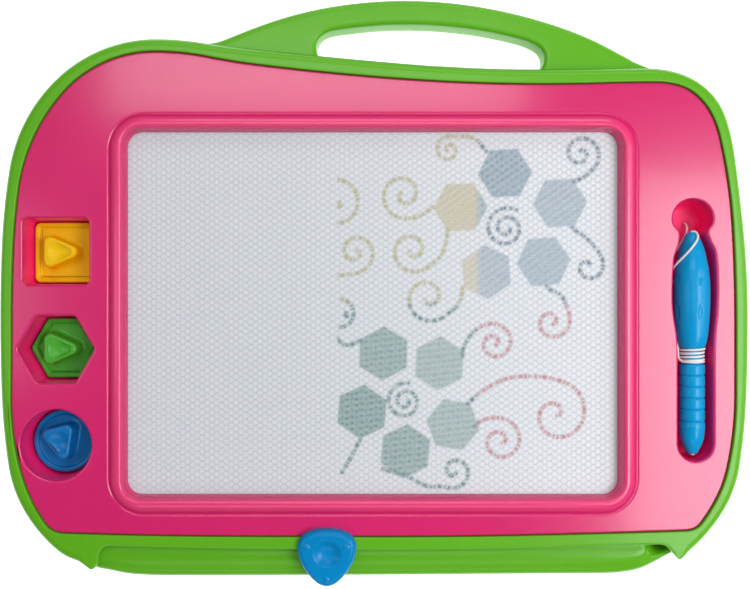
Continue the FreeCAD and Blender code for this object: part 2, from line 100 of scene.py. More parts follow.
SLOT_X = (-139.0, 150.0)
SLOT_Z = (19.6, 22.0)
POCKET_FLOOR = 5.5
RECESS_FLOOR = 6.2
POCKET_X = (low("stamp_square")[0] + high("stamp_square")[0]) / 2
POCKET_Y = {name: (low("stamp_" + name)[1] + high("stamp_" + name)[1]) / 2
            for name in ("square", "hexagon", "round")}
CORD_HOLE = ((low("cord_anchor")[0] + high("cord_anchor")[0]) / 2,
             (low("cord_anchor")[1] + high("cord_anchor")[1]) / 2)
SCREWS = [(-150, 98), (0, 103.2), (150, 94), (-143.6, -6), (-143.6, -56), (146, 58), (146, -58),
          (-160, -113), (160, -110)]
SCREW_WELL_R = 3.3
SCREW_WELL_DEPTH = 1.9


# ---- curves in the plane
def sampled_arc(start, direction, end, pitch):
    """Points of the arc that leaves start along direction and reaches end, without the end point."""
    chord = end - start
    turn = math.atan2(direction[0] * chord[1] - direction[1] * chord[0], direction @ chord)
    count = max(2, int(np.linalg.norm(chord) / pitch))
    t = np.arange(count) / count
    if abs(turn) < 1e-5:
        return start + t[:, None] * chord
    angle = (2 * t - 1) * turn
    along = 0.5 + 0.5 * np.sin(angle) / math.sin(turn)
    across = 0.5 * (math.cos(turn) - np.cos(angle)) / math.sin(turn)
    side = np.array([-chord[1], chord[0]])
    return start + along[:, None] * chord + across[:, None] * side


def run_points(knots, pitch=2.0):
    """Two tangent arcs from each knot (x, y, heading) to the next, as points about pitch apart."""
    points = []
    for (x0, y0, h0), (x1, y1, h1) in zip(knots, knots[1:]):
        p, q = np.array([x0, y0], float), np.array([x1, y1], float)
        s, t = (np.array([math.cos(math.radians(h)), math.sin(math.radians(h))]) for h in (h0, h1))
        v, both = q - p, s + t
        k = 2 * (1 - s @ t)
        if k < 1e-9:
            d = (v @ v) / (4 * (v @ t))
        else:
            d = (math.sqrt((v @ both) ** 2 + k * (v @ v)) - v @ both) / k
        joint = (p + q + (s - t) * d) / 2
        back = sampled_arc(q, -t, joint, pitch)[::-1]
        points += [sampled_arc(p, s, joint, pitch), joint[None], back[:-1]]
    return np.concatenate(points + [np.array([knots[-1][:2]], float)])


def loop(knots, pitch=2.0):
    return run_points(knots + knots[:1], pitch)[:-1]


def circle(x, y, radius, count=64):
    angle = np.arange(count) * TAU / count
    return np.stack([x + radius * np.cos(angle), y + radius * np.sin(angle)], 1)


def rounded_polygon(corners, radius, steps=8):
    """Corners of a convex polygon, anticlockwise, grown by radius with an arc at each."""
    corners = np.array(corners, float)
    ahead = np.roll(corners, -1, 0) - corners
    facing = np.arctan2(ahead[:, 1], ahead[:, 0]) - math.pi / 2
    before = np.roll(facing, 1)
    turn = (facing - before) % TAU
    t = np.linspace(0, 1, steps)
    angle = before[:, None] + turn[:, None] * t
    arcs = corners[:, None] + radius * np.stack([np.cos(angle), np.sin(angle)], 2)
    return arcs.reshape(-1, 2)


def rectangle(box, steps=12):
    """Rounded rectangle from low x, high x, low y, high y and corner radius."""
    x0, x1, y0, y1, r = box
    corners = [(x0 + r, y0 + r), (x1 - r, y0 + r), (x1 - r, y1 - r), (x0 + r, y1 - r)]
    return rounded_polygon(corners, r, steps)


def hexagon(x, y, flats, corner):
    reach = (flats / 2 - corner) / math.cos(math.pi / 6)
    angle = np.arange(6) * TAU / 6
    return rounded_polygon(np.stack([x + reach * np.cos(angle), y + reach * np.sin(angle)], 1), corner)


def triangle(x, y, length, width, corner, towards, steps=14):
    nose, back, side = length / 2 - corner, corner - length / 2, width / 2 - corner
    c, s = math.cos(math.radians(towards)), math.sin(math.radians(towards))
    points = [(nose, 0), (back, side), (back, -side)]
    return rounded_polygon([(x + u * c - v * s, y + u * s + v * c) for u, v in points], corner, steps)


def dense(points, pitch):
    """The same closed line with its long straight stretches cut into steps of about pitch."""
    ahead = np.roll(points, -1, 0)
    counts = np.maximum(1, np.round(np.linalg.norm(ahead - points, axis=1) / pitch).astype(int))
    start = np.repeat(np.arange(len(points)), counts)
    passed = np.repeat(np.cumsum(counts) - counts, counts)
    t = (np.arange(counts.sum()) - passed) / np.repeat(counts, counts)
    return points[start] + t[:, None] * (ahead[start] - points[start])


def inward(points):
    """Mitred normals that point into a closed line, whichever way it runs."""
    ahead = np.roll(points, -1, 0) - points
    ahead /= np.linalg.norm(ahead, axis=1)[:, None]
    before = np.roll(ahead, 1, 0)
    normals = np.stack([-(ahead + before)[:, 1], (ahead + before)[:, 0]], 1)
    normals /= np.maximum(0.35, 1 + (ahead * before).sum(1))[:, None]
    x, y = points.T
    area = (x * np.roll(y, -1) - np.roll(x, -1) * y).sum()
    return normals * np.sign(area)


def eased(t):
    t = np.clip(t, 0, 1)
    return t * t * (3 - 2 * t)


# ---- meshes
class Skin:
    """Gathers the patches of one piece's surface, in millimetres, and makes the mesh in metres."""

    def __init__(self):
        self.points, self.faces, self.count = [], [], 0

    def add(self, points, faces):
        self.points.append(np.asarray(points, float))
        self.faces += [tuple(int(i) + self.count for i in face) for face in faces]
        self.count += len(points)

    def grid(self, rows, closed=True):
        """Quads between the points of neighbouring rows; closed joins each row's end to its start."""
        rows = np.asarray(rows, float)
        m, n = rows.shape[:2]
        index = np.arange(m * n).reshape(m, n)
        ring = np.concatenate([index, index[:, :1]], 1) if closed else index
        quads = np.stack([ring[:-1, :-1], ring[:-1, 1:], ring[1:, 1:], ring[1:, :-1]], 2).reshape(-1, 4)
        self.add(rows.reshape(-1, 3), quads)

    def wall(self, points, profile):
        """A profile of (offset inwards, height) carried along a closed line; returns its end rings."""
        normals = inward(points)
        rings = [np.column_stack([points + normals * np.reshape(offset, (-1, 1)),
                                  np.broadcast_to(height, len(points))]) for offset, height in profile]
        self.grid(rings)
        return rings[0], rings[-1]

    def fill(self, rings):
        """Flat face inside the first ring and outside the others."""
        loops = [[Vector(p) for p in ring] for ring in rings]
        self.add(np.concatenate(rings), tessellate_polygon(loops))

    def piece(self, name, sharp=40, merge=0.002):
        """Merges the patches, turns their faces outwards and makes the object."""
        mesh = bpy.data.meshes.new(name)
        mesh.from_pydata((np.concatenate(self.points) * MM).tolist(), [], self.faces)
        work = bmesh.new()
        work.from_mesh(mesh)
        bmesh.ops.remove_doubles(work, verts=work.verts, dist=merge * MM)
        bmesh.ops.dissolve_degenerate(work, edges=work.edges, dist=merge * MM)
        bmesh.ops.recalc_face_normals(work, faces=work.faces)
        work.to_mesh(mesh)
        work.free()
        return shown(name, mesh, sharp)


def shown(name, mesh, sharp):
    mesh.polygons.foreach_set("use_smooth", np.ones(len(mesh.polygons), bool))
    mesh.set_sharp_from_angle(angle=math.radians(sharp))
    piece = bpy.data.objects.new(name, mesh)
    bpy.context.scene.collection.objects.link(piece)
    return piece


def round_over(top, radius, steps=6, margin=0.35):
    """Profile of a convex edge: up the wall, round a quarter circle, and a little way across the top."""
    angle = np.linspace(0, math.pi / 2, steps)
    edge = [(radius * (1 - math.cos(a)), top - radius * (1 - math.sin(a))) for a in angle]
    return [(0 * radius, top - radius - margin)] + edge + [(radius + margin, top + 0 * radius)]


def cup(skin, points, top, floor, edge, foot, draft):
    """A hollow: rounded lip, wall with draft, rounded foot and floor; returns lip and floor rings."""
    lip = [(-offset, height) for offset, height in round_over(top, edge)[::-1]]
    angle = np.linspace(0, math.pi / 2, 5)
    bottom = [(draft + foot * (1 - math.cos(a)), floor + foot * (1 - math.sin(a))) for a in angle]
    return skin.wall(points, lip[:-1] + bottom + [(draft + foot + 0.35, floor)])


# ---- camera
def make_camera():
    """Looks straight down on the board's face from close above, with the handle at the top."""
    data = bpy.data.cameras.new("camera")
    data.lens = 40.5
    data.sensor_width = 36.0
    camera = bpy.data.objects.new("camera", data)
    camera.location = (0.44 * MM, -3.05 * MM, 462 * MM)
    bpy.context.scene.collection.objects.link(camera)
    bpy.context.scene.camera = camera


# ---- pen cord
CORD_D = 1.25
NECK_R = 5.2
STRAND_PITCH = 3.2       # length in which the strands wind round once
PEN_X = (low("pen_barrel")[0] + high("pen_barrel")[0]) / 2
PEN_Z = (low("pen_barrel")[2] + high("pen_barrel")[2]) / 2
WRAP_TURNS = 4.5
WRAP_START = 160         # where the turns begin round the pen's axis, in degrees
POINTS_PER_TURN = 16
RING_STEP = 0.35         # between rings of the cord's surface
CORD_SIDES = 12
LEAD = [(167.5, 35.4, 6.3), (167.9, 34.3, 9.3), (167.2, 29.5, 10.6), (164.0, 23.5, 9.4),
        (160.0, 16.5, 7.8), (157.4, 8.0, 7.4), (156.7, -2.0, 7.6), (156.8, -12.0, 9.4),
        (157.4, -20.0, 13.2), (158.8, -26.4, 16.8), (160.1, -31.0, 17.3)]
RETURN = [(174.9, -30.5, 15.6), (175.7, -25.2, 13.8), (175.5, -17.0, 10.4), (171.5, -8.5, 7.3),
          (164.6, -1.0, 7.2), (159.2, 5.0, 9.3), (157.6, 9.4, 14.0), (158.8, 13.4, 19.6),
          (162.4, 18.2, 24.0), (166.4, 23.0, 24.0), (169.2, 26.6, 21.9), (169.0, 29.8, 19.6),
          (166.8, 30.4, 18.2), (165.6, 27.6, 17.2)]


def wrap_points():
    """Turns round the pen's neck: down its left side outside the turns, then a helix back up."""
    down = [(160.2, -34.0, 17.2), (160.4, -36.6, 17.4)]
    t = np.linspace(0, 1, int(WRAP_TURNS * POINTS_PER_TURN) + 1)
    angle = math.radians(WRAP_START) - TAU * WRAP_TURNS * t
    y = np.interp(t, [0, 0.16, 0.9, 1.0], [-38.3, -38.3, -32.1, -31.3])
    reach = (NECK_R + CORD_D / 2 + 0.05) * np.interp(t, [0, 0.05, 0.93, 1.0], [1.14, 1.0, 1.0, 1.1])
    helix = np.stack([PEN_X + reach * np.cos(angle), y, PEN_Z + reach * np.sin(angle)], 1)
    return np.concatenate([down, helix])


def cord_centreline():
    """Smooth line of the whole cord, read from a NURBS spline of order 3 through its control points."""
    control = np.concatenate([LEAD, wrap_points(), RETURN]) * MM
    curve = bpy.data.curves.new("cord_line", "CURVE")
    curve.dimensions = "3D"
    curve.resolution_u = 5
    spline = curve.splines.new("NURBS")
    spline.points.add(len(control) - 1)
    spline.points.foreach_set("co", np.column_stack([control, np.ones(len(control))]).ravel())
    spline.order_u = 3
    spline.use_endpoint_u = True
    holder = bpy.data.objects.new("cord_line", curve)
    bpy.context.scene.collection.objects.link(holder)
    line = bpy.data.meshes.new_from_object(holder)
    points = np.zeros(len(line.vertices) * 3)
    line.vertices.foreach_get("co", points)
    bpy.data.objects.remove(holder)
    return points.reshape(-1, 3)


def carried_frames(points):
    """Unit tangents and two normals along a line, turned as little as possible from point to point."""
    tangents = np.gradient(points, axis=0)
    tangents /= np.linalg.norm(tangents, axis=1)[:, None]
    normal = np.cross(tangents[0], (1.0, 0.0, 0.0))
    normals = []
    for tangent in tangents:
        normal = normal - tangent * (normal @ tangent)
        normal = normal / np.linalg.norm(normal)
        normals.append(normal)
    normals = np.array(normals)
    return tangents, normals, np.cross(tangents, normals)


def make_cord():
    """Twisted cord: a tube whose radius ripples with three strands that wind round the centreline."""
    line = cord_centreline()
    steps = np.linalg.norm(np.diff(line, axis=0), axis=1)
    travelled = np.concatenate([[0], np.cumsum(steps)])
    count = int(travelled[-1] / (RING_STEP * MM))
    even = np.linspace(0, travelled[-1], count)
    centre = np.stack([np.interp(even, travelled, line[:, k]) for k in range(3)], 1)
    _, a, b = carried_frames(centre)
    around = np.arange(CORD_SIDES) * TAU / CORD_SIDES
    twist = even[:, None] * TAU / (STRAND_PITCH * MM)
    radius = CORD_D * MM / 2 * (0.93 + 0.09 * np.cos(3 * (around - twist)))
    rings = (centre[:, None] + radius[..., None] * (np.cos(around)[:, None] * a[:, None]
                                                    + np.sin(around)[:, None] * b[:, None])) / MM
    skin = Skin()
    skin.grid(rings)
    for end in (0, -1):
        tip = centre[end] / MM
        skin.grid(np.stack([rings[end], np.broadcast_to(tip, (CORD_SIDES, 3))]))
    cord = skin.piece("pen_cord", sharp=80, merge=0.0005)
    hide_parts("cord_lead", "cord_wraps", "cord_return")
    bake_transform(cord)
    return cord


make_camera()
cord = make_cord()


# ---- tray
SHELF_ENDS = (-148.6, 160.4)
SHELF_NOSE = [(-148.6, -148.4), (-140.6, -149.5), (-132, -151.5), (-121, -152.4), (-110, -152.6),
              (-20, -152.5), (128, -151.3), (136, -150.2), (143, -148.4), (151, -145.2),
              (160.4, -140.6)]
SHELF_BACK = -128.5
NOSE_DEPTH = 4.2
NOSE_HEIGHT = 6.0
CREST_BACK = -133.0      # where the shelf's crown ends


def corner_distance(points, corners):
    return np.min([np.linalg.norm(points - np.array(c), axis=1) for c in corners], axis=0)


def make_rim(skin):
    """Tray shell: outer wall with a rounded rim, bezel opening, floor and screw wells."""
    rim, step = run_points(RIM_RUN)[:-1], run_points(STEP_RUN)[:-1]
    outer = np.concatenate([rim, step])
    on_step = np.arange(len(outer)) >= len(rim)
    tips = [RIM_RUN[0][:2], RIM_RUN[-1][:2]]
    far = corner_distance(outer, tips)
    top_r = np.where(on_step, np.minimum(1.1, 0.1 + 0.3 * far), np.minimum(RIM_ROUND, 0.2 + 0.55 * far))
    foot_r = np.minimum(1.2, 0.1 + 0.3 * far)
    inset = np.clip(np.minimum(outer[:, 0] - SLOT_X[0], SLOT_X[1] - outer[:, 0]), 0, 3) * on_step
    bottom = [(offset, Z_RIM - height) for offset, height in round_over(Z_RIM, foot_r)[::-1]]
    slot = [(0, SLOT_Z[0] - 0.4), (0, SLOT_Z[0]), (inset, SLOT_Z[0]), (inset, SLOT_Z[1]),
            (0, SLOT_Z[1])]
    base, crown = skin.wall(outer, bottom + slot + round_over(Z_RIM, top_r)[1:])
    plate = loop(PLATE_RUN)
    inner = [(-offset, height) for offset, height in round_over(Z_RIM, 0.6)[::-1]]
    lip, floor = skin.wall(plate, inner + [(0, Z_LEDGE), (1.2, Z_LEDGE), (1.2, FLOOR_T)])
    skin.fill([crown, lip])
    skin.fill([floor])
    wells = []
    for x, y in SCREWS:
        ring = circle(x, y, SCREW_WELL_R, 24)
        well, cap = skin.wall(ring, [(-0.3, 0), (0, 0.3), (0, SCREW_WELL_DEPTH)])
        skin.fill([cap])
        wells.append(well)
    skin.fill([base] + wells)


def make_handle(skin):
    """Handle plate with rounded edges and a finger hole that opens onto the rim's outer wall."""
    feet = np.array(HANDLE_FEET, float)
    outer = np.concatenate([run_points(HANDLE_RUN), feet])
    hidden = np.array([(146, 116.5), (-92, 129.4)])
    far = corner_distance(outer, hidden)
    top_r = np.minimum(3.6, 0.3 + 0.4 * far)
    low_r = np.minimum(1.2, 0.3 + 0.2 * far)
    z0, z1 = Z_HANDLE
    under = [(offset, z0 + z1 - height) for offset, height in round_over(z1, low_r)[::-1]]
    base, crown = skin.wall(dense(outer, 400), under + round_over(z1, top_r)[1:])
    hole = run_points(GRIP_RUN)
    lip = [(-offset, height) for offset, height in round_over(z1, 2.4)[::-1]]
    foot = [(-offset, z0 + z1 - height) for offset, height in round_over(z1, 1.0)]
    upper, lower = skin.wall(hole, lip + foot[1:])
    skin.fill([crown, upper])
    skin.fill([base, lower])


def make_shelf(skin):
    """Slide shelf carried along X: a rounded nose, a gently crowned top, and a pit at the right end."""
    low_end, high_end = SHELF_ENDS
    x = np.concatenate([np.linspace(low_end, -108, 34), np.linspace(-100, 120, 12),
                        np.linspace(124, high_end, 64)])
    front = np.interp(x, [place for place, _ in SHELF_NOSE], [y for _, y in SHELF_NOSE])
    front = np.convolve(np.pad(front, 3, "edge"), np.ones(7) / 7, "valid")
    top = Z_SHELF - 1.6 - 11.5 * eased((x - 141.5) / 12)
    shoulder = Z_SHELF - 2.0 - 3.0 * eased((x - 138) / 20) - 1.5 * eased((-144 - x) / 5)
    crest = 1.3 * (1 - eased((x - 137) / 16))
    angle = np.linspace(0, math.pi / 2, 9)[:-1]
    rows = [(front + 0.6, 0 * x), (front, 0 * x + 0.6)]
    rows += [(front + NOSE_DEPTH * (1 - math.cos(a)), shoulder - NOSE_HEIGHT * (1 - math.sin(a)))
             for a in angle]
    for t in np.linspace(0, 1, 15):
        crown = crest * np.sin(math.pi * min(1, 1.25 * t))
        rise = shoulder + (top - shoulder) * eased(1.5 * t) + crown
        rows.append((front + NOSE_DEPTH + t * (CREST_BACK - front - NOSE_DEPTH), rise))
    rows += [(0 * x + SHELF_BACK, top), (0 * x + SHELF_BACK, 0 * x)]
    rows = [np.column_stack([x, y, z]) for y, z in rows]
    skin.grid(np.stack(rows, 1))
    for end in (0, -1):
        skin.add([row[end] for row in rows], [tuple(range(len(rows)))])


def make_tray():
    skin = Skin()
    make_rim(skin)
    make_handle(skin)
    make_shelf(skin)
    tray = skin.piece("green_tray", sharp=38)
    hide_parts("tray")
    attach(tray, "board")
    return tray


# ---- bezel
# Section of the moulding: share of the way from its groove to the window, and height
MOULDING_SECTION = [(-0.03, 0.0), (0.0, 0.0), (0.03, -0.25), (0.07, -0.45), (0.11, -0.4),
                    (0.15, -0.1), (0.2, 0.45), (0.28, 1.25), (0.38, 2.05), (0.5, 2.65),
                    (0.6, 2.93), (0.68, 3.0), (0.75, 2.9), (0.8, 2.6), (0.84, 2.1), (0.87, 1.4),
                    (0.9, 0.4), (0.94, -1.2), (1.0, -4.4), (1.0, -4.5)]
POCKET_WALL = 1.4
CORD_HOLE_R = 0.95
POCKET_LIP = 1.3
POCKET_FOOT = 1.4
POCKET_DRAFT = 0.5
BOWL_FOOT = 3.4          # more rounding at the foot of the recess's round end
BOWL_Y = 27
WINDOW_MARGIN = np.array([-2.2, 2.2, -2.2, 2.2])   # the screen runs this far under the moulding


def hollows():
    """Outline and floor of the stamp pockets and the pen recess."""
    x, y, half = POCKET_X, POCKET_Y["square"], 17.2
    square = [x - half, x + half, y - half, y + half, 3.0]
    return [(rectangle(square), POCKET_FLOOR),
            (hexagon(POCKET_X, POCKET_Y["hexagon"], 34.6, 2.5), POCKET_FLOOR),
            (circle(POCKET_X, POCKET_Y["round"], 18.4), POCKET_FLOOR),
            (loop(RECESS_RUN, 1.0), RECESS_FLOOR)]


def make_bezel():
    skin = Skin()
    edge = loop(PLATE_RUN)
    plate = edge + inward(edge) * PLATE_GAP
    side = [(0.35, Z_LEDGE), (0, Z_LEDGE), (0, Z_PLATE - 1.2)] + round_over(Z_PLATE, 0.7)[1:]
    under, top = skin.wall(plate, side)
    rings = []
    for share, rise in MOULDING_SECTION:
        outline = rectangle(MOULDING + (WINDOW - MOULDING) * share, 16)
        rings.append(np.column_stack([outline, np.full(len(outline), Z_PLATE + rise)]))
    grown = rectangle(WINDOW + np.append(WINDOW_MARGIN, 2.2), 16)
    skirt = [np.column_stack([grown, np.full(len(grown), z)]) for z in (Z_SCREEN, Z_LEDGE)]
    skin.grid(np.stack(rings + skirt))
    lips, feet = [rings[0]], [skirt[1]]
    for points, floor in hollows():
        foot_r = POCKET_FOOT + BOWL_FOOT * eased((points[:, 1] - BOWL_Y) / 7) * (floor == RECESS_FLOOR)
        lip, bottom = cup(skin, points, Z_PLATE, floor, POCKET_LIP, foot_r, POCKET_DRAFT)
        lips.append(lip)
        outside = points - inward(points) * (POCKET_WALL - 0.4)
        foot, heel = skin.wall(outside, [(0, Z_LEDGE), (0.5, floor - POCKET_WALL)])
        feet.append(foot)
        skin.fill([heel])
        if floor == RECESS_FLOOR:
            rim = circle(*CORD_HOLE, CORD_HOLE_R, 20)
            mouth, end = skin.wall(rim, [(-0.35, floor), (0, floor - 0.3), (0, floor - 1.2)])
            skin.fill([bottom, mouth])
            skin.fill([end])
        else:
            skin.fill([bottom])
    skin.fill([top] + lips)
    skin.fill([under] + feet)
    bezel = skin.piece("pink_bezel", sharp=35)
    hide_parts("bezel")
    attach(bezel, "board")
    return bezel


# ---- screen with its cells and doodle
CELL_X = 2.536           # between columns of cells
CELL_Y = 3.407           # between cells of a column
CELL_FLAT = 0.45         # half the flat side
CELL_TIP = CELL_X - CELL_FLAT
WALL_SHARE = 0.86        # floor of a cell as a share of its outline
CELL_DEPTH = 0.3
WALL_SHADE = (0.77, 0.93)   # of the walls' tops and of their feet
POWDER_ON_WALL = 0.55
GRID = (WINDOW[0] - 3.0, WINDOW[2] - 3.0)
FINE = 0.6               # step of the powder's surface where there is a drawing
CLEAN = (0.63, 0.66, 0.70)
WIPED_X = -20.0          # the eraser has wiped everything left of this


def curl(x, y, radius, start, turns, tail=(), inner=0.14):
    """Stroke along its tail knots that winds into a spiral; turns are negative for clockwise."""
    t = np.linspace(0, 1, 80)
    angle = math.radians(start) + TAU * turns * t
    reach = radius * (1 - (1 - inner) * t)
    winding = np.stack([x + reach * np.cos(angle), y + reach * np.sin(angle)], 1)
    if not tail:
        return winding
    end = (winding[0, 0], winding[0, 1], start + math.copysign(98, turns))
    return np.concatenate([run_points(list(tail) + [end], 0.8), winding])


def doodle_strokes():
    """The drawn curls and the few plain lines between them."""
    return [
        curl(69.3, 31.8, 11.0, 60, 1.9), curl(16.2, -59.2, 9.8, 80, 1.9),
        curl(39.2, 73.0, 7.4, 75, 1.35, [(59.0, 72.0, 130), (52.3, 78.9, 155)]),
        curl(15.6, 49.4, 12.8, -80, -1.35, [(30.7, 43.0, -135)]),
        curl(20.0, 20.2, 12.2, -45, -1.3, [(38.4, 31.0, -88), (36.3, 19.6, -112)]),
        curl(28.4, -4.6, 13.4, -42, -1.3, [(46.4, 0.4, -95), (44.6, -7.4, -118)]),
        curl(-20.0, 45.7, 11.6, 85, -0.48, inner=0.98), curl(-18.6, 43.8, 1.6, 90, -0.7),
        curl(-10.0, 19.3, 10.6, -70, 1.3, [(-20.0, 6.8, 5)]),
        curl(-18.2, -13.0, 7.6, 80, -0.48, inner=0.95), curl(-15.0, -14.0, 1.4, 90, -0.6),
        curl(108.4, 71.0, 10.2, -35, 1.35, [(104.8, 56.4, 15), (113.4, 61.4, 48)]),
        curl(112.4, 11.6, 8.4, 30, -1.0, [(103.9, 32.4, -55), (111.6, 26.4, -42)]),
        curl(93.2, -17.4, 10.0, 20, -1.2, [(90.6, 1.6, -62), (98.9, -4.6, -60)]),
        curl(63.0, -28.6, 10.6, 112, -1.4, [(46.4, -35.2, 95), (49.8, -25.6, 55)]),
        curl(95.4, -66.0, 15.4, 14, -1.15, [(49.1, -60.6, 48), (66.0, -48.6, 24), (82.0, -46.0, 0)],
             inner=0.06),
        curl(66.0, -80.0, 12.2, 95, -1.4, [(52.8, -72.4, 52)]),
        curl(42.0, -95.8, 9.4, -115, 1.2, [(4.6, -94.6, -22), (19.0, -99.4, -28), (27.4, -103.6, -15)]),
        run_points([(-14.3, -29.6, -5), (-7.2, -27.2, 20)], 0.8),
        run_points([(-20.0, -25.0, -60), (-14.3, -29.6, -5)], 0.8),
        run_points([(-7.4, -79.4, -118), (-16.8, -96.4, -122)], 0.8),
    ]


# Petals: middle, facing of one side in degrees, and how dark the powder is
PETALS = [(68.7, 60.7, 33, 0.85), (97.6, 45.0, 33, 0.66), (89.0, 14.2, 35, 0.68),
          (58.9, 8.8, 4, 0.62), (45.4, 42.8, 32, 0.75), (4.8, -34.0, -1, 0.8),
          (34.2, -39.2, -3, 0.64), (41.4, -71.4, 20, 0.66), (16.4, -85.4, -5, 0.82),
          (-6.4, -64.6, -5, 0.9)]
PETAL_R = 14.3
# Linear colours of the four quarters in the petals, and darker ones in the lines
PETAL_COLOURS = [(0.50, 0.44, 0.25), (0.20, 0.30, 0.385), (0.155, 0.29, 0.28), (0.55, 0.30, 0.33)]
LINE_COLOURS = [(0.43, 0.40, 0.20), (0.11, 0.18, 0.26), (0.09, 0.21, 0.21), (0.50, 0.20, 0.23)]
LINE_STRENGTH = 1.15
HALF_LINE = 1.4          # from the middle of a line to where its powder ends
DASH = 2.6
HATCH = 3.1


def petal_cover(points):
    """Darkness of the powder in the hexagonal petals, hatched across each."""
    cover = np.zeros(len(points))
    for x, y, towards, dark in PETALS:
        away = points - (x, y)
        angle = math.radians(towards) + np.arange(6) * TAU / 6
        reach = np.max(away[:, :1] * np.cos(angle) + away[:, 1:] * np.sin(angle), axis=1)
        inside = np.clip((PETAL_R * math.cos(math.pi / 6) - reach) / 0.8 + 0.5, 0, 1)
        slant = math.radians(125 if y > -20 else 97)
        travel = away[:, 0] * math.cos(slant) + away[:, 1] * math.sin(slant)
        hatch = 1.16 + 0.17 * np.sin(TAU * travel / HATCH)
        cover = np.maximum(cover, dark * inside * hatch)
    return cover


def stroke_cover(points):
    """Darkness of the drawn lines, which break into short dashes."""
    cover = np.zeros(len(points))
    for stroke in doodle_strokes():
        travelled = np.concatenate([[0], np.cumsum(np.linalg.norm(np.diff(stroke, axis=0), axis=1))])
        phase = TAU * travelled / DASH + 1.6 * np.sin(0.9 * travelled)
        dashes = np.clip(0.76 + 0.6 * np.sin(phase), 0.3, 1)
        close = (points > stroke.min(0) - 2) & (points < stroke.max(0) + 2)
        near = np.flatnonzero(np.all(close, axis=1))
        if len(near):
            apart = np.linalg.norm(points[near, None] - stroke[None], axis=2)
            line = np.clip((HALF_LINE - apart.min(1)) / 0.55, 0, 1) * dashes[apart.argmin(1)]
            cover[near] = np.maximum(cover[near], line)
    return cover


def zones(points, colours):
    """Colour of the powder: the sheet has four coloured quarters that run into each other."""
    x, y = points[:, :1], points[:, 1:]
    right, upper = np.clip((x - 54.6) / 4 + 0.5, 0, 1), np.clip((y + 8) / 6 + 0.5, 0, 1)
    yellow, blue, teal, rose = np.array(colours)
    above = yellow * (1 - right) + blue * right
    below = teal * (1 - right) + rose * right
    return upper * above + (1 - upper) * below


def cell_share(points):
    """0 at the middle of the nearest cell and 1 on its outline."""
    x, y = points.T
    best = np.full(len(x), 9.0)
    for step in (-1, 0, 1):
        column = np.round((x - GRID[0]) / CELL_X - 0.5) + step
        up = 0.4 + 0.5 * (column % 2)
        row = np.round((y - GRID[1]) / CELL_Y - up)
        dx = np.abs(x - GRID[0] - CELL_X * (column + 0.5))
        dy = np.abs(y - GRID[1] - CELL_Y * (row + up)) / (CELL_Y / 2)
        best = np.minimum(best, np.maximum(dy, (dx + dy * (CELL_TIP - CELL_FLAT)) / CELL_TIP))
    return best


def powder(points, walls, seed):
    """Linear RGB of the screen at points; walls is the share of powder that shows there."""
    # painted light: the clean screen is made paler towards the right, where the lamps stand
    clean_painted_light = np.array(CLEAN) + 0.06 * eased((points[:, :1] + 60) / 160)
    wiped = np.clip((points[:, 0] - WIPED_X) / 1.2, 0, 1) * walls
    grain = seed.uniform(0.84, 1.08, len(points))
    petal = (petal_cover(points) * wiped * grain)[:, None]
    stroke = (stroke_cover(points) * wiped * grain)[:, None]
    colour = clean_painted_light + (zones(points, PETAL_COLOURS) - clean_painted_light) * petal
    line = np.clip(stroke * LINE_STRENGTH, 0, 1)
    return colour + (zones(points, LINE_COLOURS) - colour) * line


def paint(mesh, colours):
    colour = mesh.color_attributes.new("powder", "FLOAT_COLOR", "POINT")
    colour.data.foreach_set("color", np.column_stack([colours, np.ones(len(colours))]).ravel())


def make_powder():
    """Surface of the powder behind the cells: a fine grid under the drawing, a coarse one elsewhere."""
    edge = WINDOW[:4] + WINDOW_MARGIN
    top = low("screen_film")[2] - CELL_DEPTH + 0.03
    left = np.linspace(edge[0], WIPED_X - 1, 44)
    x = np.concatenate([left, np.arange(WIPED_X - 1 + FINE, edge[1], FINE)])
    y = np.arange(edge[2], edge[3], FINE)
    flat = np.stack(np.meshgrid(x, y, indexing="ij"), 2)
    skin = Skin()
    skin.grid(np.concatenate([flat, np.full((*flat.shape[:2], 1), top)], 2), closed=False)
    rim = np.concatenate([flat[:-1, 0], flat[-1, :-1], flat[1:, -1][::-1], flat[0, 1:][::-1]])
    under = np.column_stack([rim, np.full(len(rim), top - 0.12)])
    skin.grid(np.stack([np.column_stack([rim, np.full(len(rim), top)]), under]))
    skin.fill([under])
    sheet = skin.piece("screen_powder", sharp=60, merge=0.001)
    places = np.zeros(len(sheet.data.vertices) * 3)
    sheet.data.vertices.foreach_get("co", places)
    points = places.reshape(-1, 3)[:, :2] / MM
    shows = np.clip((1.04 - cell_share(points)) / 0.34, 0.5, 1)
    paint(sheet.data, powder(points, shows, np.random.default_rng(7)))
    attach(sheet, "board")
    return sheet


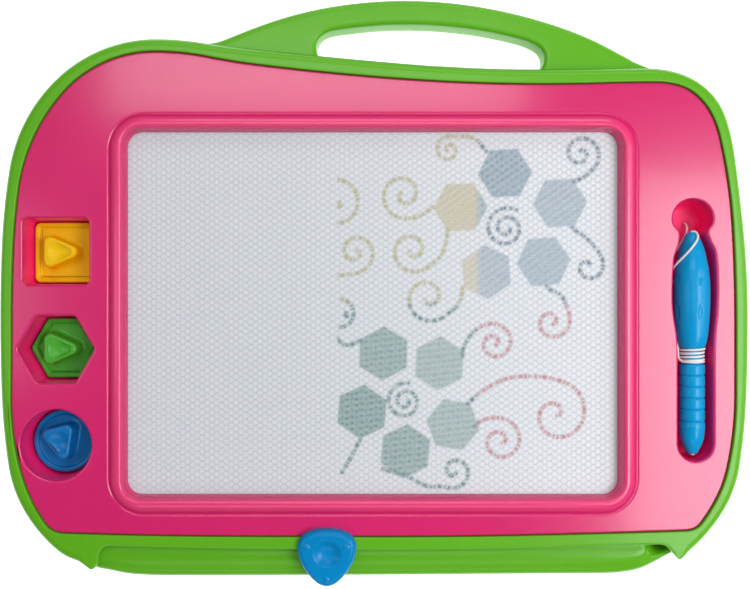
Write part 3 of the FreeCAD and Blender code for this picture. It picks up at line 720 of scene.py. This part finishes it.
def make_cells():
    """Honeycomb of flattened cells with sloping walls; the powder shows between them."""
    x1, y1 = WINDOW[1] + 3.0, WINDOW[3] + 3.0
    column, row = np.meshgrid(np.arange(int((x1 - GRID[0]) / CELL_X)),
                              np.arange(int((y1 - GRID[1]) / CELL_Y)), indexing="ij")
    up = 0.4 + 0.5 * (column % 2)
    centres = np.stack([GRID[0] + CELL_X * (column + 0.5), GRID[1] + CELL_Y * (row + up)], 2)
    centres = centres.reshape(-1, 2)
    half = CELL_Y / 2
    shape = np.array([(CELL_TIP, 0), (CELL_FLAT, half), (-CELL_FLAT, half), (-CELL_TIP, 0),
                      (-CELL_FLAT, -half), (CELL_FLAT, -half)])
    top = low("screen_film")[2] - 0.02
    count = len(centres)
    rims = np.concatenate([centres[:, None] + shape, np.full((count, 6, 1), top)], 2)
    floors = np.concatenate([centres[:, None] + shape * WALL_SHARE,
                             np.full((count, 6, 1), top - CELL_DEPTH)], 2)
    points = np.concatenate([rims, floors], 1).reshape(-1, 3)
    around = np.arange(6)
    following = (around + 1) % 6
    quads = np.stack([around, following, following + 6, around + 6], 1)
    first = (np.arange(count) * 12)[:, None, None]
    faces = (first + quads).reshape(-1, 4).tolist() + (first[:, 0] + np.arange(6, 12)).tolist()
    mesh = bpy.data.meshes.new("screen_cells")
    mesh.from_pydata((points * MM).tolist(), [], faces)
    shade = np.where(points[:, 2] > top - 0.01, *WALL_SHADE)[:, None]
    walls = np.full(len(points), POWDER_ON_WALL)
    paint(mesh, powder(points[:, :2], walls, np.random.default_rng(8)) * shade)
    work = bmesh.new()
    work.from_mesh(mesh)
    bmesh.ops.remove_doubles(work, verts=work.verts, dist=0.02 * MM)
    border = [edge for edge in work.edges if edge.is_boundary]
    sides = bmesh.ops.extrude_edge_only(work, edges=border)["geom"]
    pulled = [item for item in sides if isinstance(item, bmesh.types.BMVert)]
    bmesh.ops.translate(work, verts=pulled, vec=(0, 0, (low("cell_layer")[2] - top) * MM))
    border = [edge for edge in work.edges if edge.is_boundary]
    bmesh.ops.triangle_fill(work, use_beauty=False, edges=border)
    bmesh.ops.recalc_face_normals(work, faces=work.faces)
    work.to_mesh(mesh)
    work.free()
    cells = shown("screen_cells", mesh, 10)
    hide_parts("cell_layer")
    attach(cells, "board")
    return cells


# ---- knob, stamps and pen
# Knob outline from the middle of its screen side, clockwise
KNOB_RUN = [(0, 0, 0), (10.4, -2.0, -26), (15.2, -9.6, -92), (12.4, -19.2, -120),
            (5.6, -27.4, -140), (0, -29.4, 180), (-5.6, -27.4, 140), (-12.4, -19.2, 120),
            (-15.2, -9.6, 92), (-10.4, -2.0, 26)]


def make_knob():
    """Rounded triangular knob with a dished face and three small studs."""
    bottom, top = low("eraser_knob"), high("eraser_knob")
    mid_x, back = (bottom[0] + top[0]) / 2, top[1] - 0.2
    outline = loop(KNOB_RUN, 0.7) + (mid_x, back)
    crown = top[2] - 0.5
    studs = np.array([(-10.2, -8.7), (10.2, -8.7), (0, -25.4)]) + (mid_x, back)
    hollow = np.array((mid_x + 0.3, back - 12.2))

    def height(flat):
        away = np.linalg.norm((flat - hollow) / (7.4, 7.0), axis=1)
        dish = 2.3 * np.clip(1 - away ** 2.4, 0, None) ** 1.3
        rise = sum(0.5 * np.exp(-(np.linalg.norm(flat - stud, axis=1) / 1.35) ** 4) for stud in studs)
        return crown - dish + rise - 0.25 * np.clip((flat[:, 1] - back + 14.7) / 14.7, -1, 1) ** 2

    skin = Skin()
    edge = 3.2
    inner = outline + inward(outline) * edge
    angle = np.linspace(0, math.pi / 2, 9)[:-1]
    wall = [(1.2, bottom[2]), (0.5, bottom[2] + 0.3), (0, bottom[2] + 1.2), (0, crown - 4.4)]
    roll = [(edge * (1 - math.cos(a)), height(inner) - edge * 0.95 * (1 - math.sin(a))) for a in angle]
    base, rim = skin.wall(outline, wall + roll)
    middle = outline.mean(0)
    rings = [middle + (inner - middle) * share for share in np.linspace(1, 0.03, 36)]
    rings = [rim] + [np.column_stack([flat, height(flat)]) for flat in rings]
    skin.grid(np.stack(rings))
    skin.fill([rings[-1]])
    skin.fill([base])
    knob = skin.piece("eraser_slider_knob", sharp=50)
    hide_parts("eraser_knob")
    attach(knob, "eraser")
    return knob


def make_stamp(name, outline, towards):
    """Stamp cap: base with a raised lip round it and a triangular grip with a dished top."""
    bottom, top = low("stamp_" + name), high("stamp_" + name)
    y = POCKET_Y[name]
    floor, lip = bottom[2] + 2.3, bottom[2] + 3.7
    skin = Skin()
    side = [(0.4, bottom[2]), (0, bottom[2] + 0.4)] + round_over(lip, 0.7, 5, 0.2)[1:]
    inner = [(2.4 - 0.5, lip), (2.4, lip - 0.3), (2.6, floor + 0.4), (3.0, floor), (3.4, floor)]
    base, plate = skin.wall(outline, side + inner)
    skin.fill([base])
    grip = dense(triangle(POCKET_X, y, 17.4, 16.2, 3.4, towards), 0.6)
    crown = top[2]

    def height(flat):
        away = np.linalg.norm(flat - (POCKET_X, y), axis=1) / 6.2
        return crown - 1.7 * np.clip(1 - away ** 2, 0, None)

    flare = [(-1.9, floor - 0.4), (-1.9, floor), (-1.2, floor + 0.15), (-0.6, floor + 0.6),
             (-0.2, floor + 1.6), (0, floor + 3)]
    foot, rim = skin.wall(grip, flare + round_over(crown, 1.5, 7, 0.1)[1:])
    middle = np.array((POCKET_X, y))
    rings = [middle + (rim[:, :2] - middle) * share for share in np.linspace(1, 0.04, 20)]
    rings = [np.column_stack([flat, height(flat)]) for flat in rings]
    skin.grid(np.stack(rings))
    skin.fill([plate])
    skin.fill([foot])
    skin.fill([rings[-1]])
    stamp = skin.piece("stamp_cap_" + name, sharp=45)
    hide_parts("stamp_" + name)
    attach(stamp, name + "_stamp")
    return stamp


BARREL_RUN = [(30.2, 0.0), (30.05, 1.0), (29.6, 2.0), (28.7, 3.0), (27.4, 3.8), (24.0, 5.1),
              (20.5, 6.3), (15, 7.5), (10.0, 8.4), (4.0, 8.98), (-1.0, 9.15), (-6, 9.15),
              (-12.0, 8.95), (-17.0, 8.65), (-22.0, 8.3), (-25.0, 7.95), (-27.5, 7.45),
              (-29.6, 6.9), (-30.6, 6.5)]
DIMPLES = [(17.4, 1.9, 0.8), (4.4, 2.7, 1.1), (-12.2, 4.0, 1.5)]
DIMPLE_DEPTH = 0.6
BARREL_SIDES = 144
RINGS = (-45.4, -51.2, -57.2, -63.2, -69.4)
RING_DEPTH = 0.55


def turned(skin, y, radius, around=72, dent=None):
    """A profile turned about the pen's axis; dent takes a little off the radius by place."""
    angle = np.arange(around) * TAU / around
    r = np.repeat(np.asarray(radius, float)[:, None], around, 1)
    place = np.repeat(np.asarray(y, float)[:, None], around, 1)
    if dent is not None:
        r = r - dent(place, np.broadcast_to(angle, r.shape), r)
    skin.grid(np.stack([PEN_X + r * np.cos(angle), place, PEN_Z + r * np.sin(angle)], 2))


def grip_dents(y, angle, radius):
    """Three rows of oval thumb marks, growing towards the tip, in four columns round the barrel."""
    depth = np.zeros_like(y)
    for centre, length, width in DIMPLES:
        for column in (82, 162, 262, 342):
            across = (angle - math.radians(column) + TAU / 2) % TAU - TAU / 2
            away = np.sqrt(((y - centre) / length) ** 2 + (across * radius / width) ** 2)
            depth += DIMPLE_DEPTH * np.clip(1 - away ** 2.6, 0, None)
    return depth


def make_barrel():
    y, r = np.array(BARREL_RUN).T
    fine = np.linspace(0, len(y) - 1, 150)
    skin = Skin()
    knots = np.arange(len(y))
    turned(skin, np.interp(fine, knots, y), np.interp(fine, knots, r), BARREL_SIDES, grip_dents)
    foot = [(-30.6, 6.5), (-31.0, 6.1), (-31.0, 5.2), (-39.6, 5.2), (-39.6, 0.0)]
    turned(skin, [p[0] for p in foot], [p[1] for p in foot], BARREL_SIDES)
    barrel = skin.piece("pen_upper_barrel", sharp=40)
    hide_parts("pen_barrel")
    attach(barrel, "pen")
    return barrel


def make_grip():
    """Lower barrel with five ring grooves, a slight swell and a tapered nose."""
    y = np.concatenate([[-39.6, -39.6, -39.7, -40.1], np.linspace(-40.6, -73.6, 220),
                        np.linspace(-74, -86.0, 20), [-86.4, -86.6, -86.6]])
    nose = np.linspace(6.4, 2.9, 20) + 0.9 * np.sin(np.linspace(0, math.pi, 20))
    r = np.concatenate([[0, 5.6, 6.1, 6.4], np.full(220, 6.45), nose, [2.6, 2.1, 0.0]])
    for ring in RINGS:
        r -= RING_DEPTH * np.exp(-((y - ring) / 0.42) ** 2)
    r += 0.16 * np.exp(-((y + 72.2) / 1.1) ** 2)
    skin = Skin()
    turned(skin, y, np.maximum(r, 0))
    grip = skin.piece("pen_lower_barrel", sharp=40)
    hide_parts("pen_grip")
    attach(grip, "pen")
    return grip


def make_tip():
    skin = Skin()
    end = low("pen_tip")[1]
    turned(skin, [-81.6, -81.6, end + 0.5, end + 0.2, end + 0.03, end], [0, 1.75, 1.75, 1.6, 1.1, 0], 48)
    tip = skin.piece("pen_magnet_tip", sharp=50)
    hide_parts("pen_tip")
    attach(tip, "pen")
    return tip


# ---- materials
class Value:
    """A socket that takes part in Python arithmetic; each operator adds its Math node."""

    def __init__(self, look, socket):
        self.look, self.socket = look, socket

    def math(self, operation, other, swap=False):
        pair = (other, self) if swap else (self, other)
        return self.look.node("ShaderNodeMath", {"operation": operation}, {0: pair[0], 1: pair[1]})

    def __add__(self, other):
        return self.math("ADD", other)

    def __mul__(self, other):
        return self.math("MULTIPLY", other)

    def __sub__(self, other):
        return self.math("SUBTRACT", other)

    def __rsub__(self, other):
        return self.math("SUBTRACT", other, swap=True)

    __radd__ = __add__
    __rmul__ = __mul__


class Look:
    """A material whose varying inputs are wired by hand and whose plain ones are set on the shader."""

    def __init__(self, name, **plain):
        self.material = bpy.data.materials.new(name)
        self.material.use_nodes = True
        self.tree = self.material.node_tree
        self.shader = next(n for n in self.tree.nodes if n.type == "BSDF_PRINCIPLED")
        for socket, value in plain.items():
            self.shader.inputs[socket.replace("_", " ")].default_value = value
        self.place = self.node("ShaderNodeTexCoord", output="Object")

    def node(self, kind, settings=None, inputs=None, output=0):
        made = self.tree.nodes.new(kind)
        for key, value in (settings or {}).items():
            setattr(made, key, value)
        for key, value in (inputs or {}).items():
            if isinstance(value, Value):
                self.tree.links.new(value.socket, made.inputs[key])
            else:
                made.inputs[key].default_value = value
        return Value(self, made.outputs[output])

    def noise(self, scale, detail=2.0, roughness=0.5):
        return self.node("ShaderNodeTexNoise", None, {"Vector": self.place, "Scale": scale,
                                                      "Detail": detail, "Roughness": roughness})

    def between(self, share, first, second):
        """Colour between two others."""
        return self.node("ShaderNodeMix", {"data_type": "RGBA"}, {0: share, 6: first, 7: second}, output=2)

    def feed(self, socket, value):
        self.tree.links.new(value.socket, self.shader.inputs[socket])

    def bump(self, height, distance, strength=1.0):
        self.feed("Normal", self.node("ShaderNodeBump", None, {"Height": height, "Distance": distance,
                                                               "Strength": strength}))

    def cover(self, *pieces):
        for piece in pieces:
            if piece.data.materials:
                for k in range(len(piece.data.materials)):
                    piece.material_slots[k].material = self.material
            else:
                piece.data.materials.append(self.material)


def rgba(colour, factor=1.0):
    return (*(min(1.0, c * factor) for c in colour), 1.0)


def moulded_plastic(name, colour, roughness=0.22, coat=0.25, gloss=0.5):
    """Glossy moulded plastic: faint clouds in the colour, uneven gloss, fine orange-peel surface."""
    look = Look(name, IOR=1.49, Specular_IOR_Level=gloss, Coat_Weight=coat, Coat_Roughness=0.12)
    cloud = look.noise(28.0, 3.0)
    look.feed("Base Color", look.between(cloud, rgba(colour, 0.94), rgba(colour, 1.06)))
    look.feed("Roughness", look.noise(160.0, 2.0) * 0.08 + (roughness - 0.04))
    look.bump(look.noise(520.0, 2.0, 0.6), 0.00002)
    return look


def pink_plastic(outer, inner, moulding):
    """Pink plastic by height: the plate, paler on the moulding as a painted highlight, duller in the
    hollows and warmer there as painted glow.
    """
    look = moulded_plastic("pink_plastic", outer)
    depth = look.node("ShaderNodeSeparateXYZ", None, {"Vector": look.place}, output="Z")

    def share(start, end):
        return look.node("ShaderNodeMapRange", None, {"Value": depth, "From Min": (Z_PLATE + start) * MM,
                                                      "From Max": (Z_PLATE + end) * MM})

    inside = share(-0.8, -7.0)
    cloud = look.noise(28.0, 3.0)
    top = look.between(cloud, rgba(outer, 0.94), rgba(outer, 1.06))
    # painted glow: a brighter, redder pink in the hollows stands in for light passed through and bounced
    # round the deep recesses
    pocket_painted_glow = look.between(cloud, rgba(inner, 0.94), rgba(inner, 1.06))
    # painted highlight: a paler pink on the raised moulding stands in for the broad reflection along its
    # crest
    upper = look.between(share(0.5, 2.0), top, rgba(moulding))
    look.feed("Base Color", look.between(inside, upper, pocket_painted_glow))
    look.feed("Roughness", look.noise(160.0, 2.0) * 0.08 + 0.2 + inside * 0.3)
    look.feed("Coat Weight", 0.4 - inside * 0.4)
    return look


def dress(pieces):
    moulded_plastic("green_plastic", (0.110, 0.42, 0.008), 0.30, 0.1, 0.3).cover(pieces["tray"])
    # the second colour is painted glow for the hollows, the third a painted highlight for the moulding
    pink_plastic((0.66, 0.011, 0.14), (0.95, 0.01, 0.18), (0.80, 0.04, 0.18)).cover(pieces["bezel"])
    moulded_plastic("pen_blue", (0.0, 0.30, 0.62), 0.24, 0.04, 0.2).cover(pieces["barrel"], pieces["grip"])
    moulded_plastic("knob_blue", (0.0, 0.225, 0.53), 0.24, 0.02, 0.16).cover(pieces["knob"])
    moulded_plastic("stamp_blue", (0.0, 0.155, 0.44), 0.25, 0.1, 0.35).cover(pieces["round"])
    moulded_plastic("stamp_yellow", (0.82, 0.50, 0.0), 0.3, 0.04, 0.2).cover(pieces["square"])
    moulded_plastic("stamp_green", (0.055, 0.36, 0.02), 0.28, 0.1, 0.35).cover(pieces["hexagon"])
    cells = Look("screen_cells", Roughness=0.55)
    cells.feed("Base Color", cells.node("ShaderNodeAttribute", {"attribute_name": "powder"}))
    cells.cover(pieces["cells"], pieces["powder"])
    film = Look("clear_film", Roughness=0.32, IOR=1.45, Alpha=0.05)
    film.feed("Base Color", film.between(film.noise(40.0), (0.9, 0.92, 0.94, 1), (0.96, 0.97, 0.98, 1)))
    film.cover(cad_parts["screen_film"])
    white = Look("inner_white_plastic")
    white.feed("Base Color", white.between(white.noise(60.0), (0.62, 0.62, 0.6, 1), (0.7, 0.7, 0.68, 1)))
    white.feed("Roughness", white.noise(200.0) * 0.15 + 0.35)
    white.cover(*(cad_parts[n] for n in ("screen_frame", "eraser_carriage", "back_film")))
    rubber = Look("magnet_sheet")
    rubber.feed("Base Color", rubber.between(rubber.noise(300.0), (0.02, 0.02, 0.022, 1),
                                             (0.045, 0.042, 0.04, 1)))
    rubber.feed("Roughness", rubber.noise(90.0) * 0.2 + 0.55)
    rubber.cover(*(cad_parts[n] for n in ("eraser_magnet", "stamp_square_magnet",
                                               "stamp_hexagon_magnet", "stamp_round_magnet")))
    steel = Look("screw_zinc", Metallic=1.0)
    steel.feed("Base Color", steel.between(steel.noise(400.0), (0.5, 0.5, 0.52, 1), (0.68, 0.67, 0.64, 1)))
    steel.feed("Roughness", steel.noise(700.0) * 0.25 + 0.22)
    steel.cover(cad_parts["case_screws"], pieces["tip"])
    cotton = Look("white_cord", Sheen_Weight=0.3)
    cotton.feed("Base Color", cotton.between(cotton.noise(2500.0), (0.68, 0.68, 0.66, 1),
                                             (0.86, 0.86, 0.84, 1)))
    cotton.feed("Roughness", cotton.noise(900.0) * 0.2 + 0.65)
    cotton.bump(cotton.noise(5200.0, 3.0), 0.00004)
    cotton.cover(cord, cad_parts["cord_anchor"])


# ---- stage and light
def area_light(name, place, aim, size, energy):
    data = bpy.data.lights.new(name, "AREA")
    data.shape = "RECTANGLE"
    data.size, data.size_y = size
    data.energy = energy
    light = bpy.data.objects.new(name, data)
    light.location = place
    light.rotation_euler = (Vector(aim) - Vector(place)).to_track_quat("-Z", "Y").to_euler()
    bpy.context.scene.collection.objects.link(light)


def make_stage():
    """Pale floor under the board, a soft world and soft boxes above and around it."""
    mesh = bpy.data.meshes.new("floor")
    reach = 3.0
    corners = [(-reach, -reach, 0), (reach, -reach, 0), (reach, reach, 0), (-reach, reach, 0)]
    mesh.from_pydata(corners, [], [(0, 1, 2, 3)])
    floor = bpy.data.objects.new("floor", mesh)
    floor.location.z = -0.0004
    bpy.context.scene.collection.objects.link(floor)
    paper = Look("pale_floor", Roughness=0.9, Emission_Color=(1, 1, 1, 1), Emission_Strength=0.8)
    paper.feed("Base Color", paper.between(paper.noise(3.0), (0.94, 0.94, 0.94, 1), (0.96, 0.96, 0.96, 1)))
    paper.cover(floor)
    world = bpy.data.worlds.new("studio")
    world.use_nodes = True
    world.node_tree.nodes["Background"].inputs["Color"].default_value = (1, 1, 1, 1)
    world.node_tree.nodes["Background"].inputs["Strength"].default_value = 0.165
    bpy.context.scene.world = world
    area_light("box_right", (0.66, -0.175, 1.0), (0.66, -0.175, 0), (0.48, 0.75), 8.5)
    area_light("box_far_right", (1.35, 0.0, 0.9), (1.0, 0.0, 0), (0.8, 1.2), 5.5)
    area_light("box_top", (-0.10, 0.375, 1.0), (-0.10, 0.375, 0), (0.70, 0.15), 1.8)
    area_light("box_far_top", (0.1, 1.2, 0.9), (0.0, 0.0, 0), (1.2, 0.6), 4.6)
    area_light("box_front", (-0.05, -0.85, 0.85), (0.0, -0.13, 0), (0.9, 0.3), 1.2)
    area_light("box_left", (-0.85, 0.0, 0.85), (-0.15, 0.0, 0), (0.3, 0.7), 1.0)
    area_light("overhead", (0.0, 0.0, 1.0), (0.0, 0.0, 0), (0.40, 0.24), 0.6)
    bpy.context.scene.view_settings.view_transform = "Standard"


pieces = {"tray": make_tray(), "bezel": make_bezel(), "cells": make_cells(), "powder": make_powder(),
          "knob": make_knob(), "barrel": make_barrel(), "grip": make_grip(), "tip": make_tip()}
SQUARE_HALF = 16.0
square = [POCKET_X - SQUARE_HALF, POCKET_X + SQUARE_HALF, POCKET_Y["square"] - SQUARE_HALF,
          POCKET_Y["square"] + SQUARE_HALF, 3.0]
pieces["square"] = make_stamp("square", rectangle(square), 0)
pieces["hexagon"] = make_stamp("hexagon", hexagon(POCKET_X, POCKET_Y["hexagon"], 31.6, 2.5), 0)
pieces["round"] = make_stamp("round", circle(POCKET_X, POCKET_Y["round"], 16.7), -75)
dress(pieces)
make_stage()
